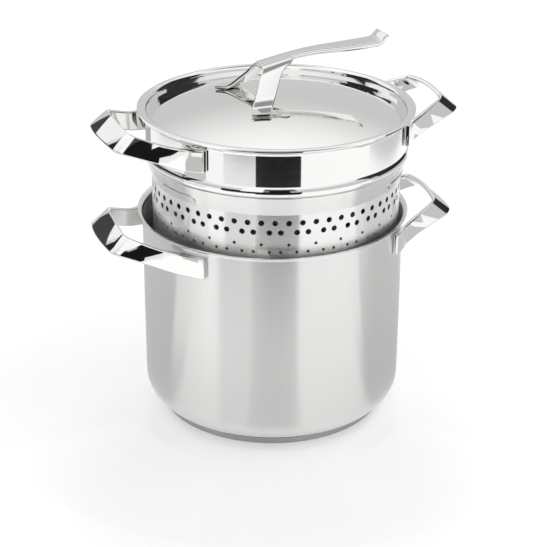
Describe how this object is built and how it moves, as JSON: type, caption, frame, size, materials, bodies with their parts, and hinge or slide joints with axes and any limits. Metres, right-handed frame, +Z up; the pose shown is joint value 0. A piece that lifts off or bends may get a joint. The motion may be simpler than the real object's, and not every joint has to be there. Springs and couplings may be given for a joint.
{
  "type": "pasta pot",
  "caption": "Tall round steel pot with looped side handles, holding a perforated insert with its own handles and a domed lid with a cantilevered strip handle.",
  "frame": {"origin": "on the pot's axis at the underside of the base disc", "axes": "+Z up along the pot's axis, +X towards the right-hand pot handle"},
  "size_m": [0.3097, 0.2289, 0.3176],
  "materials": {
    "satin_steel": "satin brushed stainless steel with polished lips",
    "base_steel": "satin turned steel",
    "polished_steel": "mirror polished stainless steel"
  },
  "bodies": {
    "root": {"pot_body": "satin_steel", "base_disc": "base_steel", "pot_handle_left": "polished_steel", "pot_handle_right": "polished_steel", "insert_body": "satin_steel", "insert_handle_left": "polished_steel", "insert_handle_right": "polished_steel", "lid": "polished_steel", "lid_handle": "polished_steel"}
  },
  "joints": []
}
